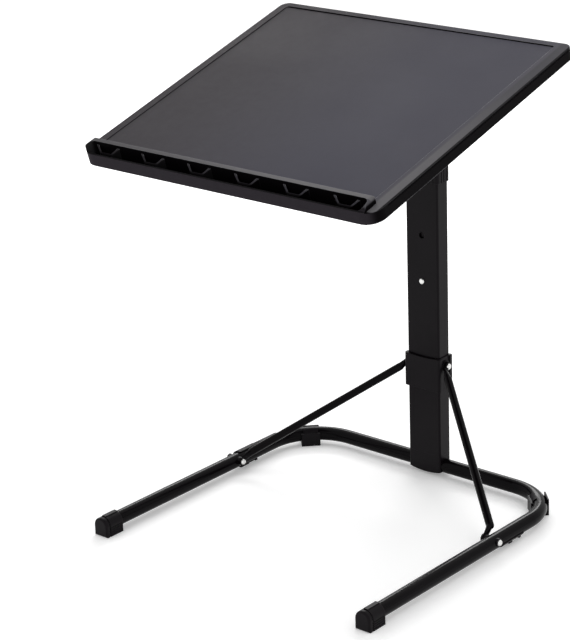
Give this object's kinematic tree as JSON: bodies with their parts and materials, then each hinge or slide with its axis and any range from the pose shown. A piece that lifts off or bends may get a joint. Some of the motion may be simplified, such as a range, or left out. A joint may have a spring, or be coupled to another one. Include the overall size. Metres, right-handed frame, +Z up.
{
  "type": "folding laptop stand",
  "caption": "Folding floor stand for a laptop: a tilting tray with a front lip on a telescopic post, which a U-shaped tube base and swinging braces hold upright.",
  "frame": {"origin": "on the floor, at the middle of the stand's bounding box", "axes": "+Z up, the legs and the user's side towards -Y, the crossbar along X"},
  "size_m": [0.5204, 0.4922, 0.7056],
  "materials": {
    "black_steel": "black powder coat, satin",
    "black_plastic": "black moulded plastic",
    "tray_plastic": "charcoal moulded plastic, fine grain",
    "bright_steel": "bright plated steel",
    "screw_steel": "zinc-plated steel"
  },
  "bodies": {
    "column": {"outer_post": "black_steel", "post_saddle": "black_plastic", "saddle_screws": "screw_steel", "post_guide": "black_plastic"},
    "base": {"base_tube": "black_steel", "left_end_cap": "black_plastic", "right_end_cap": "black_plastic", "left_corner_foot": "black_plastic", "right_corner_foot": "black_plastic", "left_leg_clip": "black_plastic", "right_leg_clip": "black_plastic", "leg_pivot_spacers": "black_plastic", "leg_pivot_rivets": "bright_steel"},
    "collar": {"brace_collar": "black_plastic", "collar_bolts": "bright_steel"},
    "left_brace": {"left_brace": "black_steel", "left_brace_rivet": "bright_steel"},
    "right_brace": {"right_brace": "black_steel", "right_brace_rivet": "bright_steel"},
    "inner_post": {"inner_post": "black_steel", "post_glide": "black_plastic", "post_head": "black_plastic", "head_screws": "screw_steel", "hinge_bolt": "bright_steel", "hinge_washers": "black_plastic", "button_spring": "screw_steel"},
    "button": {"snap_button": "bright_steel"},
    "tray": {"tray_frame": "tray_plastic", "tray_panel": "tray_plastic", "tilt_bracket": "black_steel", "bracket_screws": "screw_steel", "panel_screws": "screw_steel"},
    "knob": {"tilt_knob": "black_plastic", "knob_nut": "bright_steel"}
  },
  "joints": [
    {"name": "base_fold", "type": "hinge", "parent": "column", "child": "base", "pos_m": [0, 0.22848, 0.016], "axis": [1, 0, 0], "range_deg": [-90, 0]},
    {"name": "collar_slide", "type": "slide", "parent": "column", "child": "collar", "axis": [0, 0, 1], "range_m": [0, 0.256]},
    {"name": "left_brace_swing", "type": "hinge", "parent": "collar", "child": "left_brace", "pos_m": [-0.0355, 0.22848, 0.181], "axis": [1, 0, 0], "range_deg": [0, 49]},
    {"name": "right_brace_swing", "type": "hinge", "parent": "collar", "child": "right_brace", "pos_m": [0.0355, 0.22848, 0.181], "axis": [1, 0, 0], "range_deg": [0, 49]},
    {"name": "height", "type": "slide", "parent": "column", "child": "inner_post", "axis": [0, 0, 1], "range_m": [0, 0.072], "deforming": ["snap_button"]},
    {"name": "tray_tilt", "type": "hinge", "parent": "inner_post", "child": "tray", "pos_m": [0, 0.22848, 0.6501], "axis": [1, 0, 0], "range_deg": [-16.2, 73.8]},
    {"name": "button_press", "type": "slide", "parent": "inner_post", "child": "button", "axis": [0, 1, 0], "range_m": [0, 0.0042], "stiffness_N_per_m": 800, "springref_m": -0.002, "deforming": ["button_spring"]},
    {"name": "knob_turn", "type": "hinge", "parent": "inner_post", "child": "knob", "pos_m": [-0.039, 0.22848, 0.6501], "axis": [1, 0, 0], "continuous": true}
  ],
  "couplings": [
    {"joint": "collar_slide", "follows": "base_fold", "m_per_rad": -0.1606},
    {"joint": "left_brace_swing", "follows": "base_fold", "ratio": -0.5338},
    {"joint": "right_brace_swing", "follows": "base_fold", "ratio": -0.5338}
  ]
}
